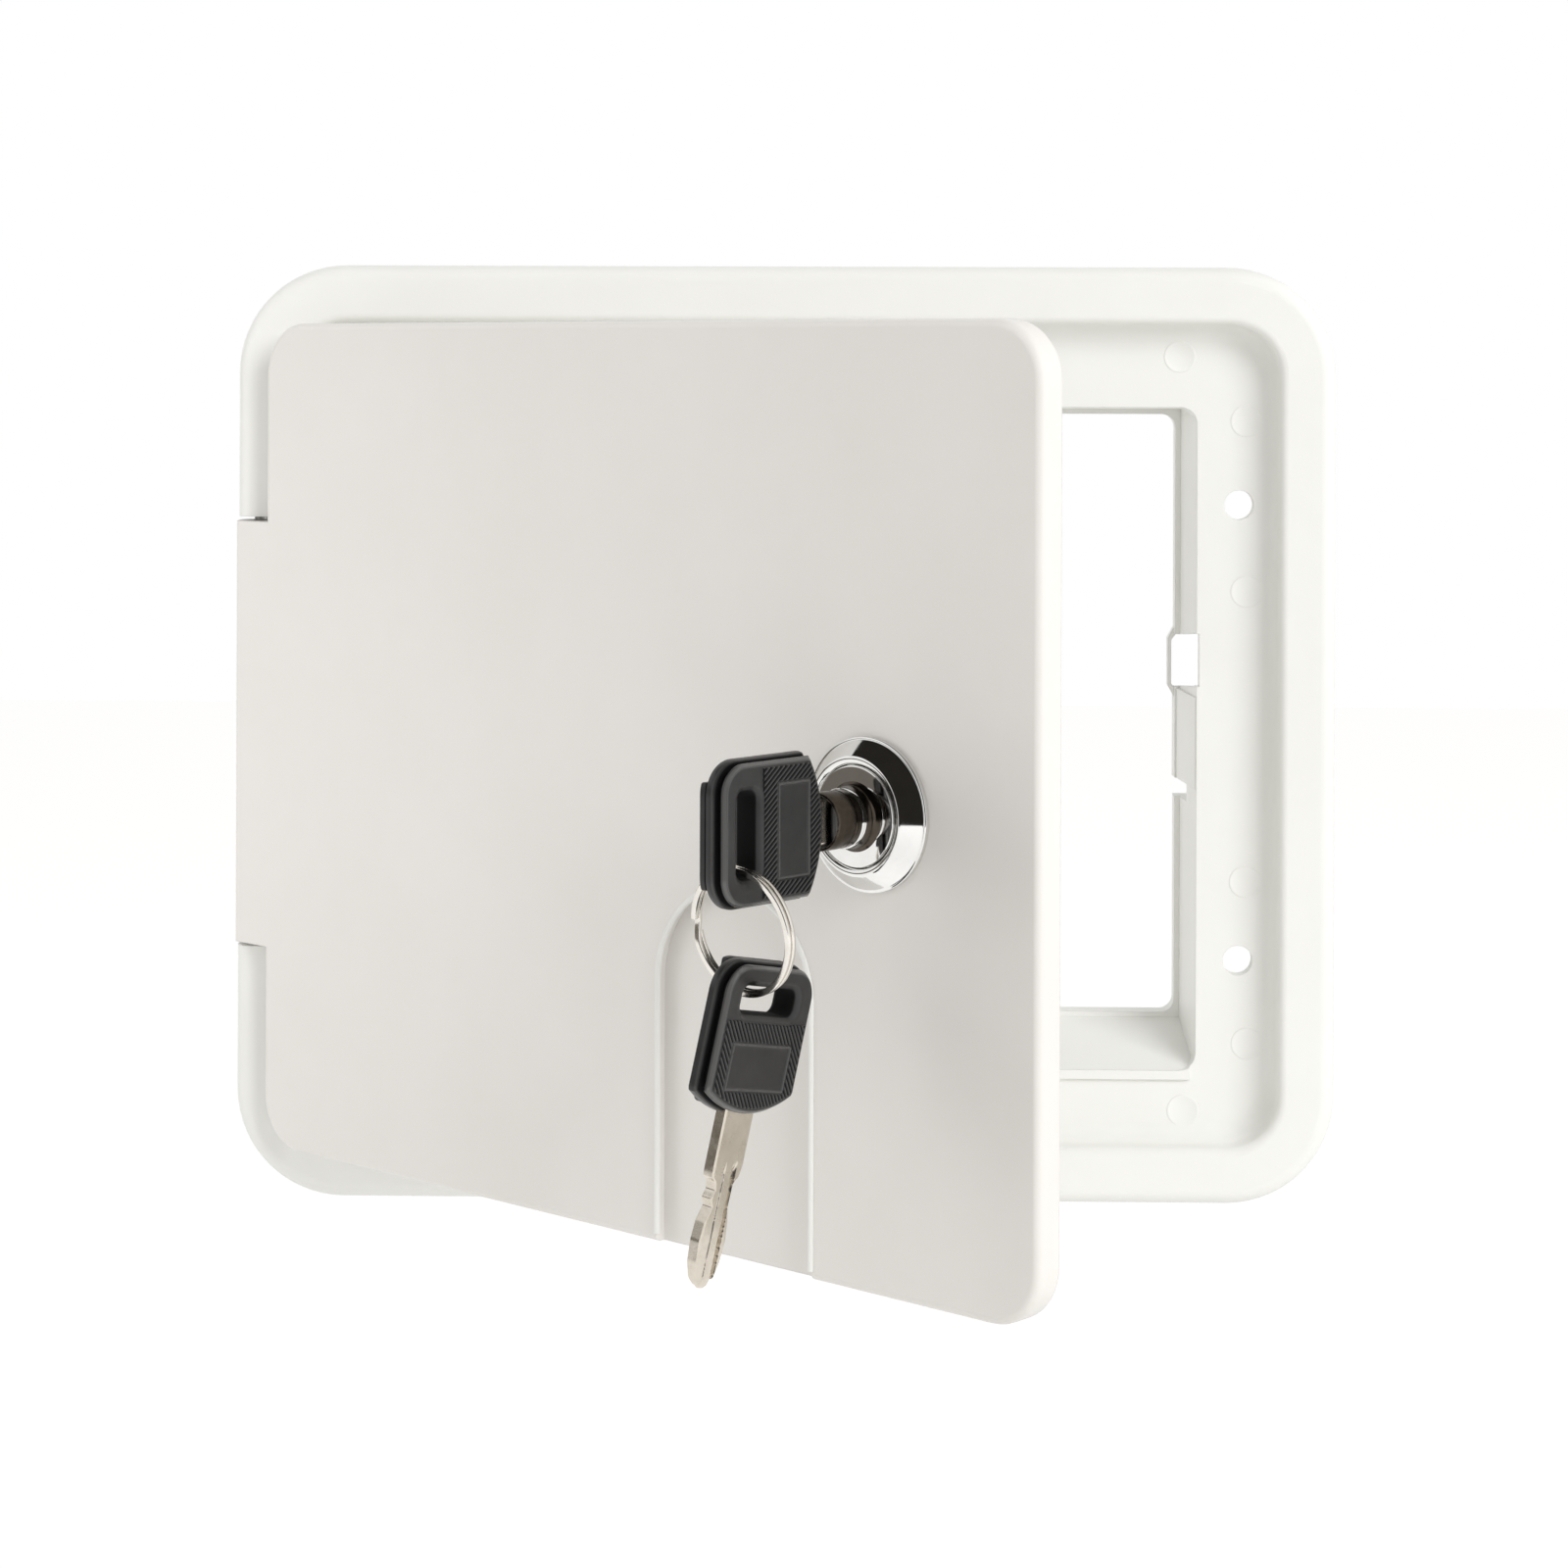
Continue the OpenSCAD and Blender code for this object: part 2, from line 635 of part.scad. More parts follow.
frame();
hinge_pin();
lid();
lock_housing();
lock_nut();
lock_plug();
latch_cam();
cam_screw();
key_blade();
key_head();
key_ring();
spare_key_blade();
spare_key_head();
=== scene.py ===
import math
import bmesh
import bpy
import numpy as np
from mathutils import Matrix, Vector


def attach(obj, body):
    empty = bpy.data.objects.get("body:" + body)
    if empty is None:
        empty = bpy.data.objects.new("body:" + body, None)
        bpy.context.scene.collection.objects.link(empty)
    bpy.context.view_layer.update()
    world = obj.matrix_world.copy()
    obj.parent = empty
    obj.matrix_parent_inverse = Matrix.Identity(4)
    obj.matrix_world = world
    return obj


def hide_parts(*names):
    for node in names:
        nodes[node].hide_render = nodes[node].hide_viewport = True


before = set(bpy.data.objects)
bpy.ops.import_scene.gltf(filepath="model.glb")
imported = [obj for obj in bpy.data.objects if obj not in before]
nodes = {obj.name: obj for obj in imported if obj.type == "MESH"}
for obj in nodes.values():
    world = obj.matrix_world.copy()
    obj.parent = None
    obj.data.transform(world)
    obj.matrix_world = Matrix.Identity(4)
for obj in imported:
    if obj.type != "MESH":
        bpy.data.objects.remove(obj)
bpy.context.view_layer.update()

# The bench that the hatch is looked at on: the camera square to the wall, a white room whose
# dark cards only the chrome mirrors, a large soft lamp at the front right, a weak one at the
# left and another behind the opening.
shot = bpy.data.objects.new("camera", bpy.data.cameras.new("camera"))
bpy.context.scene.collection.objects.link(shot)
shot.data.sensor_width = 36
shot.data.lens = 77.355
shot.data.shift_y = -0.27024
shot.data.clip_start = 0.01
shot.location = (0.011771, -0.575176, 0.062879)
shot.rotation_euler = (math.radians(90), -0.0034, 0.0213)
bpy.context.scene.camera = shot
bpy.context.scene.view_settings.view_transform = "Standard"


def lamp(name, place, aim, size, power):
    """A square area lamp at a place, turned to face a point. Neither the camera nor chrome
    shows it."""
    light = bpy.data.objects.new(name, bpy.data.lights.new(name, "AREA"))
    light.data.size = size
    light.data.energy = power
    light.location = place
    light.rotation_euler = (Vector(aim) - Vector(place)).to_track_quat("-Z", "Y").to_euler()
    light.visible_camera = False
    light.visible_glossy = False
    bpy.context.scene.collection.objects.link(light)


lamp("right_lamp", (0.95, -1.15, 0.75), (0.02, 0, 0), 0.9, 15)
lamp("left_lamp", (-0.3, -0.08, 0.035), (-0.03, -0.06, 0), 0.16, 0.17)
lamp("back_lamp", (-0.06, 0.1, -0.03), (0.055, 0.005, 0), 0.08, 0.036)


def add(tree, kind, **values):
    """A shader node with its settings and plain socket values filled in by name."""
    made = tree.nodes.new(kind)
    for key, value in values.items():
        if key in made.inputs:
            made.inputs[key].default_value = value
        else:
            setattr(made, key, value)
    return made


def seen_white(tree):
    """1 for camera, mirror and glass rays, and 0 for the rays that light the hatch."""
    rays = add(tree, "ShaderNodeLightPath")
    first = add(tree, "ShaderNodeMath", operation="MAXIMUM")
    second = add(tree, "ShaderNodeMath", operation="MAXIMUM")
    tree.links.new(rays.outputs["Is Camera Ray"], first.inputs[0])
    tree.links.new(rays.outputs["Is Glossy Ray"], first.inputs[1])
    tree.links.new(first.outputs[0], second.inputs[0])
    tree.links.new(rays.outputs["Is Transmission Ray"], second.inputs[1])
    return second.outputs[0]


room = bpy.data.worlds.new("room")
bpy.context.scene.world = room
room.use_nodes = True
tree = room.node_tree
tree.nodes.clear()
lit = add(tree, "ShaderNodeBackground", Color=(1, 0.98, 0.955, 1), Strength=0.58)
white = add(tree, "ShaderNodeBackground", Color=(1, 1, 1, 1), Strength=1.0)
dark = add(tree, "ShaderNodeBackground", Color=(1, 0.9, 0.78, 1), Strength=0.02)
card = add(tree, "ShaderNodeBackground", Color=(1, 0.9, 0.78, 1), Strength=0.16)
rays = add(tree, "ShaderNodeLightPath")
place = add(tree, "ShaderNodeTexCoord")


def facing(tree, direction, low, high):
    """0 to 1 as the share of the looking direction along a direction runs from low to high."""
    share = add(tree, "ShaderNodeVectorMath", operation="DOT_PRODUCT")
    share.inputs[1].default_value = direction
    ramp = add(tree, "ShaderNodeMapRange")
    ramp.inputs["From Min"].default_value = low
    ramp.inputs["From Max"].default_value = high
    tree.links.new(place.outputs["Generated"], share.inputs[0])
    tree.links.new(share.outputs["Value"], ramp.inputs["Value"])
    return ramp.outputs[0]


def product(tree, *parts):
    """Numbers multiplied together."""
    while len(parts) > 1:
        both = add(tree, "ShaderNodeMath", operation="MULTIPLY")
        tree.links.new(parts[0], both.inputs[0])
        tree.links.new(parts[1], both.inputs[1])
        parts = (both.outputs[0], *parts[2:])
    return parts[0]


mirrored = rays.outputs["Is Glossy Ray"]
# The dark side is in front and above, and the card is low at the left.
dark_side = product(tree, mirrored,
                    facing(tree, (0, 0, 1), -0.22, -0.2),
                    facing(tree, (1, 0, 0), -0.65, -0.6),
                    facing(tree, (-1, 0, 0), -0.5, -0.45),
                    facing(tree, (0, -1, 0), -0.5, -0.46))
card_side = product(tree, mirrored,
                    facing(tree, (-1, 0, 0), 0.78, 0.82),
                    facing(tree, (0, 0, 1), -0.15, -0.13),
                    facing(tree, (0, 0, -1), -0.28, -0.22))
studio = add(tree, "ShaderNodeMixShader")
carded = add(tree, "ShaderNodeMixShader")
which = add(tree, "ShaderNodeMixShader")
out = add(tree, "ShaderNodeOutputWorld")
tree.links.new(dark_side, studio.inputs[0])
tree.links.new(white.outputs[0], studio.inputs[1])
tree.links.new(dark.outputs[0], studio.inputs[2])
tree.links.new(card_side, carded.inputs[0])
tree.links.new(studio.outputs[0], carded.inputs[1])
tree.links.new(card.outputs[0], carded.inputs[2])
tree.links.new(seen_white(tree), which.inputs[0])
tree.links.new(lit.outputs[0], which.inputs[1])
tree.links.new(carded.outputs[0], which.inputs[2])
tree.links.new(which.outputs[0], out.inputs[0])

floor = bpy.data.objects.new("floor", bpy.data.meshes.new("floor"))
wide, fore, down = 2, -0.95, -0.2
floor.data.from_pydata([(-wide, fore, down), (wide, fore, down), (wide, wide, down),
                        (-wide, wide, down)], [], [(0, 1, 2, 3)])
bpy.context.scene.collection.objects.link(floor)
paper = bpy.data.materials.new("paper_floor")
paper.use_nodes = True
tree = paper.node_tree
tree.nodes.clear()
matte = add(tree, "ShaderNodeBsdfDiffuse", Color=(0.92, 0.92, 0.9, 1))
pale = add(tree, "ShaderNodeBsdfDiffuse", Color=(0.45, 0.45, 0.45, 1))
glow = add(tree, "ShaderNodeEmission", Color=(1, 1, 1, 1), Strength=0.72)
both = add(tree, "ShaderNodeAddShader")
which = add(tree, "ShaderNodeMixShader")
out = add(tree, "ShaderNodeOutputMaterial")
tree.links.new(pale.outputs[0], both.inputs[0])
tree.links.new(glow.outputs[0], both.inputs[1])
tree.links.new(seen_white(tree), which.inputs[0])
tree.links.new(matte.outputs[0], which.inputs[1])
tree.links.new(both.outputs[0], which.inputs[2])
tree.links.new(which.outputs[0], out.inputs[0])
floor.data.materials.append(paper)


# Outer frame: one white ABS moulding with a hollow raised rim, a sunk floor, and the collar
# that goes through the wall. Satin, a little yellow, with the faint grain of a spark-eroded mould.
def soft_edge(tree, radius):
    """The surface direction with its sharp edges rounded over by a radius, in metres."""
    return add(tree, "ShaderNodeBevel", samples=4, Radius=radius).outputs[0]


def grain(tree, size, depth, under):
    """Bump from noise whose grains are size metres across and depth metres deep."""
    place = add(tree, "ShaderNodeTexCoord")
    noise = add(tree, "ShaderNodeTexNoise", Scale=1 / size, Detail=2.0, Roughness=0.55)
    bump = add(tree, "ShaderNodeBump", Strength=1.0, Distance=depth)
    tree.links.new(place.outputs["Object"], noise.inputs["Vector"])
    tree.links.new(noise.outputs["Fac"], bump.inputs["Height"])
    if under is not None:
        tree.links.new(under, bump.inputs["Normal"])
    return bump.outputs[0]


def spread(tree, size, low, high):
    """A number that wanders between low and high in patches of size metres."""
    place = add(tree, "ShaderNodeTexCoord")
    noise = add(tree, "ShaderNodeTexNoise", Scale=1 / size, Detail=3.0, Roughness=0.6)
    remap = add(tree, "ShaderNodeMapRange")
    remap.inputs["From Min"].default_value = 0.3
    remap.inputs["From Max"].default_value = 0.7
    remap.inputs["To Min"].default_value = low
    remap.inputs["To Max"].default_value = high
    tree.links.new(place.outputs["Object"], noise.inputs["Vector"])
    tree.links.new(noise.outputs["Fac"], remap.inputs["Value"])
    return remap.outputs[0]


def mottle(tree, one, other, size):
    """Two near colours mixed in soft patches of size metres."""
    mix = add(tree, "ShaderNodeMix", data_type="RGBA")
    mix.inputs[6].default_value = (*one, 1)
    mix.inputs[7].default_value = (*other, 1)
    tree.links.new(spread(tree, size, 0, 1), mix.inputs[0])
    return mix.outputs[2]


def plastic(name, one, other, patch, rough, pit, depth, edge=0.00025):
    """Moulded plastic: near colours in patches, uneven gloss, a mould's grain, softened edges."""
    made = bpy.data.materials.new(name)
    made.use_nodes = True
    tree = made.node_tree
    base = tree.nodes["Principled BSDF"]
    base.inputs["IOR"].default_value = 1.52
    base.inputs["Specular IOR Level"].default_value = 0.5
    tree.links.new(mottle(tree, one, other, patch), base.inputs["Base Color"])
    tree.links.new(spread(tree, 0.006, *rough), base.inputs["Roughness"])
    under = soft_edge(tree, edge) if edge else None
    tree.links.new(grain(tree, pit, depth, under), base.inputs["Normal"])
    return made


def finish(node, made):
    """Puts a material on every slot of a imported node."""
    mesh = nodes[node].data
    mesh.materials.clear()
    mesh.materials.append(made)


white_abs = plastic("white_abs", (0.915, 0.922, 0.898), (0.89, 0.895, 0.868), 0.03,
                    (0.36, 0.46), 0.00035, 0.000012)
finish("frame", white_abs)


def quads(index):
    """Faces of four corners between neighbouring rows and columns of a grid of point numbers."""
    corners = (index[:-1, :-1], index[:-1, 1:], index[1:, 1:], index[1:, :-1])
    return np.stack(corners, -1).reshape(-1, 4).tolist()


def shell(name, points, faces, wear_and_painted_light, crease, merge, body, made):
    """A smooth piece from points in metres, its normals turned outwards, sharp where its faces
    meet at more than crease degrees. merge joins points at one place. The material numbers are one
    per point: -1 in a dull recess painted dark as shade, 1 on a polished edge painted lighter as a
    highlight."""
    mesh = bpy.data.meshes.new(name)
    mesh.from_pydata(points.tolist(), [], faces)
    if wear_and_painted_light is not None:
        mesh.attributes.new("wear_and_painted_light", "FLOAT", "POINT").data.foreach_set("value", wear_and_painted_light)
    work = bmesh.new()
    work.from_mesh(mesh)
    if merge:
        bmesh.ops.remove_doubles(work, verts=work.verts, dist=2e-7)
    bmesh.ops.recalc_face_normals(work, faces=work.faces)
    work.to_mesh(mesh)
    work.free()
    mesh.shade_smooth()
    mesh.set_sharp_from_angle(angle=math.radians(crease))
    piece = bpy.data.objects.new(name, mesh)
    bpy.context.scene.collection.objects.link(piece)
    mesh.materials.append(made)
    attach(piece, body)
    return piece


def skin(name, grid, body, made, loop=False, wear_and_painted_light=None):
    """Quads between neighbouring points of closed rows. loop joins the last row to the first,
    and otherwise each end row is closed by a fan. The material numbers, for painted shade and
    highlight, are one per row."""
    rows, cols = grid.shape[:2]
    points = grid.reshape(-1, 3)
    index = np.arange(rows * cols).reshape(rows, cols)
    index = np.c_[index, index[:, :1]]
    if loop:
        index = np.r_[index, index[:1]]
    faces = quads(index)
    if not loop:
        points = np.r_[points, grid[0].mean(0)[None], grid[-1].mean(0)[None]]
        for row, middle in ((index[0], rows * cols), (index[-1], rows * cols + 1)):
            faces += np.stack([row[:-1], row[1:], np.full(len(row) - 1, middle)], -1).tolist()
    wear_and_painted_light = None if wear_and_painted_light is None else np.repeat(wear_and_painted_light, cols)
    return shell(name, points, faces, wear_and_painted_light, 32, True, body, made)


def lathe(profile, turns=96):
    """A profile of radius and height, in mm, carried round its axis: rows of x, y, height."""
    angle = np.linspace(0, 2 * np.pi, turns, endpoint=False)
    radius, height = np.asarray(profile, float).T[:, :, None]
    return np.stack([radius * np.cos(angle), radius * np.sin(angle), height + 0 * angle], -1)


floor_height = 2.6


def on_floor(points, x, z):
    """mm on the frame's floor, height towards the viewer, made metres in the wall's frame."""
    return np.stack([points[..., 0] + x, -points[..., 2] - floor_height,
                     points[..., 1] + z], -1) / 1000


# Marks of the mould's ejector pins: shallow rings where the pins pushed the frame out.
mark_spots = [(66.7, 63.7), (78.0, 52.8), (78.1, 23.9),
              (78.0, -25.3), (78.4, -52.7), (67.6, -64.1)]
for number, spot in enumerate(mark_spots):
    mark = lathe([(0.01, 0.01), (2.3, 0.012), (2.42, 0.05), (2.55, 0.055), (2.7, 0.03),
                  (2.8, -0.1), (0.01, -0.1)], 48)
    skin(f"pin_mark_{number + 1}", on_floor(mark, *spot), "frame_body", white_abs)


# Hinge pin: a plain steel rod pushed through the lid's long knuckle into the frame at both ends.
def metal(name, one, other, patch, rough, pit, depth, edge=0.00015):
    """Bare or plated metal: near colours in patches, uneven gloss and fine scratches."""
    made = bpy.data.materials.new(name)
    made.use_nodes = True
    tree = made.node_tree
    base = tree.nodes["Principled BSDF"]
    base.inputs["Metallic"].default_value = 1.0
    tree.links.new(mottle(tree, one, other, patch), base.inputs["Base Color"])
    tree.links.new(spread(tree, 0.0015, *rough), base.inputs["Roughness"])
    under = soft_edge(tree, edge) if edge else None
    tree.links.new(grain(tree, pit, depth, under), base.inputs["Normal"])
    return made


pin_steel = metal("pin_steel", (0.62, 0.62, 0.62), (0.5, 0.5, 0.5), 0.002,
                  (0.25, 0.4), 0.0003, 0.000004)
finish("hinge_pin", pin_steel)

# Lid: a flat white ABS door with a moulded arch for the cord, swinging on its own knuckle.
lid_abs = plastic("lid_abs", (0.872, 0.853, 0.828), (0.848, 0.828, 0.8), 0.03,
                  (0.34, 0.44), 0.00035, 0.000012)
finish("lid", lid_abs)

swing = math.radians(40.9)
along = np.array([math.cos(swing), -math.sin(swing), 0])
outward = np.array([-math.sin(swing), -math.cos(swing), 0])
hinge = np.array([-89.2, -3.8, 0])
lid_face = 5.7
lock_u, lock_v = 141.4, -1.0
arch_u, arch_w, arch_h, lid_half = 115.1, 31.2, 54.8, 68.7


def on_lid(points):
    """mm along the lid, up it and out of it, from the hinge, made metres in the wall's frame."""
    u, v, n = points[..., :1], points[..., 1:2], points[..., 2:]
    return (hinge + (u * along + v * np.array([0, 0, 1.0]) + n * outward)) / 1000


def on_lock(points):
    """mm about the lock's axis, height from the lid's face, made metres."""
    return on_lid(points + np.array([lock_u, lock_v, lid_face]))


# Arch bead: a fine raised line, moulded with the lid, all round the arch for the cord. It
# rounds over the arch's edge.
bead_r, bead_h, bead_in, bead_shift, bead_gap = 0.42, 0.5, 0.25, 0.15, 1.35


def bead_rows():
    """A half-round section carried up one side of the arch, round its top and down the other."""
    turn = np.linspace(0, np.pi, 60)
    section = np.linspace(0, 2 * np.pi, 16, endpoint=False)
    half = arch_w / 2 - bead_in
    foot, top = -lid_half + bead_gap, -lid_half + arch_h - arch_w / 2
    drop = np.linspace(foot, top, 12)[:-1]
    u = np.r_[0 * drop + half, half * np.cos(turn), 0 * drop - half]
    v = np.r_[drop, top + half * np.sin(turn), drop[::-1]]
    away = np.r_[0 * drop, turn, 0 * drop + np.pi]
    r = bead_r * np.cos(section)
    n = lid_face + bead_h * np.sin(section)
    return np.stack([arch_u + bead_shift + u[:, None] + r * np.cos(away)[:, None],
                     v[:, None] + r * np.sin(away)[:, None], n + 0 * u[:, None]], -1)


# The bead takes the frame's whiter plastic rather than the lid's, so its line shows brighter: a
# painted highlight.
skin("arch_bead", on_lid(bead_rows()), "lid_body", white_abs)

# Lock housing: a die-cast body, chromed, whose bezel slopes from a rounded crest down to a thin
# flange. Behind the lid it is threaded, with two flats that keep it from turning.
chrome = metal("chrome", (0.83, 0.825, 0.81), (0.77, 0.765, 0.75), 0.004,
               (0.035, 0.09), 0.0012, 0.0000015, 0)
bezel = [(7.28, 2.1), (7.28, 2.9), (7.4, 3.12), (7.62, 3.35), (7.85, 3.48), (8.1, 3.5), (8.3, 3.44),
         (8.48, 3.3), (8.52, 3.255), (10.48, 1.03), (10.52, 0.985), (10.58, 0.93), (10.68, 0.9),
         (10.86, 0.88), (10.94, 0.82), (10.99, 0.7), (11.0, 0.5), (10.98, 0.1), (10.85, 0.0),
         (8.95, 0.0)]
body_back = -27.0
body_r, bore_r, flat = 8.9, 6.08, 7.5
pitch, thread_depth = 1.0, 0.55
flat_from, thread_from, thread_run_in = 5, 5.2, 0.6


def threaded(turns=144):
    """The housing as rows from the bezel's inside, over its crest and flange, down the thread
    and back up the bore. In the thread the radius rises and falls along a helix."""
    steps = np.arange(-0.4, body_back, -pitch / 9)
    heights = np.r_[[h for r, h in bezel], -0.02, steps, body_back, body_back, 2.1]
    radii = np.r_[[r for r, h in bezel], body_r, np.full(len(steps), body_r), body_r - 0.6,
                  bore_r, bore_r]
    angle = np.linspace(0, 2 * np.pi, turns, endpoint=False)
    grid = lathe(np.c_[radii, heights], turns)
    first, last = len(bezel) + 1, len(bezel) + 1 + len(steps)
    z = heights[first:last, None]
    wave = 0.5 - 0.5 * np.cos(2 * np.pi * z / pitch - angle)
    r = body_r - thread_depth * wave * np.clip((-z - thread_from) / thread_run_in, 0, 1)
    side = np.where(z < -flat_from, flat / np.maximum(np.abs(np.cos(angle)), 1e-6), 99)
    r = np.minimum(r, side)
    grid[first:last, :, 0] = r * np.cos(angle)
    grid[first:last, :, 1] = r * np.sin(angle)
    return grid


housing = skin("lock_bezel_and_body", on_lock(threaded()), "lid_body", chrome, loop=True)
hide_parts("lock_housing")

# Nut: a thin zinc-plated hexagon that clamps the housing to the lid from behind.
zinc = metal("zinc_plate", (0.7, 0.7, 0.66), (0.56, 0.57, 0.52), 0.0015,
             (0.3, 0.48), 0.00018, 0.000006)
finish("lock_nut", zinc)

# Plug: the part that turns with the key, chromed, with a flat round face inside the bezel and a
# bright collar on its nose. A dark-brown sleeve over the nose and down to the face stands in for
# the chrome's reflection of the black key head and the dim room: a painted reflection. Its tail is
# cut square to drive the cam.
turning = [(0.01, 11.0), (3.75, 11.0), (3.8, 10.9), (3.8, 6.4), (4.16, 6.35), (4.24, 6.25),
           (4.26, 5.6), (4.18, 5.4), (3.8, 5.35), (3.8, 3.42), (6.9, 3.4), (7.06, 3.34),
           (7.16, 3.2), (7.2, 3.0), (7.2, 2.25), (6.0, 2.2), (6.0, -26.6), (5.6, -26.8),
           (4.0, -26.8)]


def plug_rows(turns=96):
    """Rows from the nose down to the tail, whose round is cut to a square by flats."""
    tail_r, tail_half = 4.0, 3.0
    tail = [(tail_r, -26.85), (tail_r, -30.2), (3.7, -30.5), (0.01, -30.5)]
    grid = lathe(turning + tail, turns)
    angle = np.linspace(0, 2 * np.pi, turns, endpoint=False)
    square = tail_half / np.maximum(np.abs(np.cos(angle)), np.abs(np.sin(angle)))
    shrink = np.minimum(1, square / tail_r)
    grid[-len(tail):, :, :2] *= shrink[None, :, None]
    return grid


plug = skin("plug_with_nose", on_lock(plug_rows()), "plug_body", chrome)
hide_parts("lock_plug")
# Painted reflection: dark brown metal that shows the nose as if it mirrored the black key head.
painted_reflection_metal = metal("painted_reflection_chrome", (0.09, 0.075, 0.06), (0.06, 0.05, 0.04), 0.002,
               (0.12, 0.25), 0.0006, 0.000003, 0)
sleeve = lathe([(3.7, 3.3), (5.0, 3.36), (4.9, 3.46), (4.56, 3.66), (4.32, 4.0), (4.18, 4.5),
                (4.1, 5.1), (4.1, 7.3), (4.02, 7.38), (4.02, 7.6), (4.1, 7.68), (4.1, 10.9),
                (4.0, 11.12), (3.8, 11.2), (3.7, 11.1)])
skin("nose_sleeve", on_lock(sleeve), "plug_body", painted_reflection_metal, loop=True)

# Cam and its screw: a stamped, zinc-plated arm on the tail, held by a cross-head screw.
finish("latch_cam", zinc)
finish("cam_screw", zinc)

# Key blade: punched nickel-plated brass, 1.8 mm thick, cut on both edges and milled with
# lengthwise grooves. Its root is moulded into the head.
nickel = metal("nickel", (0.7, 0.645, 0.565), (0.6, 0.55, 0.47), 0.003,
               (0.16, 0.3), 0.0004, 0.000004, 0)
blade_len, blade_half, blade_thick, blade_in = 23.5, 3.2, 1.8, 1.9


def blade_rows():
    """Rows across the blade from root to tip. Each row is a closed section whose two sides
    follow the cuts, with grooves sunk into both faces and small chamfers at the edges."""
    y = -np.r_[np.linspace(-blade_in, 8.4, 24), np.linspace(8.5, blade_len - 0.05, 150)]
    cut_y = [-blade_in, 8.4, 8.9, 10.2, 11.3, 12.4, 14.3, 17, 20, 22.3, blade_len]
    cut_x = [blade_half, blade_half, 2.3, 1.9, 2.5, 1.8, 2.7, 3.0, 2.7, 1.7, 0.4]
    back_y = [-blade_in, 7.6, 9.3, 12.4, 14.2, 17, 20, 22.2, blade_len]
    back_x = [-blade_half, -blade_half, -1.9, -1.8, -2.4, -2.8, -2.5, -1.7, -0.5]
    right = np.interp(-y, cut_y, cut_x)
    left = np.interp(-y, back_y, back_x)
    kernel = np.array([1, 2, 3, 4, 3, 2, 1]) / 16
    right[20:] = np.convolve(np.pad(right, 3, "edge"), kernel, "valid")[20:]
    left[20:] = np.convolve(np.pad(left, 3, "edge"), kernel, "valid")[20:]
    share = np.r_[0, 0.02, np.linspace(0.06, 0.94, 70), 0.98, 1]
    x = left[:, None] + (right - left)[:, None] * share
    edge = np.minimum(x - left[:, None], right[:, None] - x)
    tip = np.clip((y[:, None] + blade_len) / 1.6, 0, 1)
    full = blade_thick / 2 * (0.35 + 0.65 * np.sqrt(tip))
    level = full - 0.16 * np.clip(1 - edge / 0.2, 0, 1)
    start = np.clip((-y[:, None] - 6.2) / 1.4, 0, 1)

    def groove(middle, width, depth):
        """How deep a groove of a width is at each x: full across its middle, sloping out."""
        return depth * start * np.clip((width / 2 - np.abs(x - middle)) / 0.12, 0, 1)

    low = -np.minimum(level, full - groove(-1.3, 0.9, 0.45) - groove(0.75, 0.35, 0.15))
    high = np.minimum(level, full - groove(0.45, 0.9, 0.45) - groove(-1.0, 0.35, 0.15))
    face = np.stack([x, y[:, None] + 0 * x, low], -1)
    back = np.stack([x, y[:, None] + 0 * x, high], -1)
    return np.concatenate([face, back[:, ::-1]], 1)


head_t, head_w, head_l = 4.4, 20.3, 21.0
slot_y, slot_w, slot_h = 13.9, 3.8, 12.0
plug_nose, blade_shown = 8.4, 3.2
head_n = plug_nose + blade_shown


def in_lock(points):
    """A key's own mm (x across, y from the blade's side to the ring's side, z through) put in
    the lock, upright and square to the lid, made metres."""
    return on_lock(np.stack([-points[..., 2], -points[..., 0], points[..., 1] + head_n], -1))


blade = skin("key_blade_cut", in_lock(blade_rows()), "plug_body", nickel)
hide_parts("key_blade")

# Key head: black plastic moulded round the blade's root in layers, a chamfered front plate with a
# painted highlight on its chamfer, a groove painted dark as shade, a broad rounded band and a
# thinner back plate, with a bevelled slot for the ring whose inside is painted dark as shade.
head_black = plastic("head_black", (0.012, 0.012, 0.0122), (0.02, 0.02, 0.0203), 0.004,
                     (0.3, 0.46), 0.00022, 0.000008, 0)
corner_r, bow_r, slot_r = 4.6, 19.0, 1.3
back_in, back_from, back_r = 2.9, 1.2, 1.2


def rubbing_and_painted_light(made, socket, hollow_shade, rubbed_highlight):
    """Fades what a socket gets to one value where a mesh's number is -1, painted shade in its
    recesses, and to another where it is 1, a painted highlight on its polished edges.
    """
    tree = made.node_tree
    socket = tree.nodes["Principled BSDF"].inputs[socket]
    colour = socket.type == "RGBA"
    for end, value in ((-1, hollow_shade), (1, rubbed_highlight)):
        wear_and_painted_light = add(tree, "ShaderNodeAttribute", attribute_name="wear_and_painted_light")
        share = add(tree, "ShaderNodeMapRange")
        share.inputs["From Max"].default_value = end
        mix = add(tree, "ShaderNodeMix", data_type="RGBA" if colour else "FLOAT")
        before, after = (mix.inputs[6], mix.inputs[7]) if colour else (mix.inputs[2], mix.inputs[3])
        after.default_value = (*value, 1) if colour else value
        if socket.is_linked:
            tree.links.new(socket.links[0].from_socket, before)
        else:
            before.default_value = socket.default_value
        tree.links.new(wear_and_painted_light.outputs["Fac"], share.inputs["Value"])
        tree.links.new(share.outputs[0], mix.inputs[0])
        tree.links.new(mix.outputs[2 if colour else 0], socket)


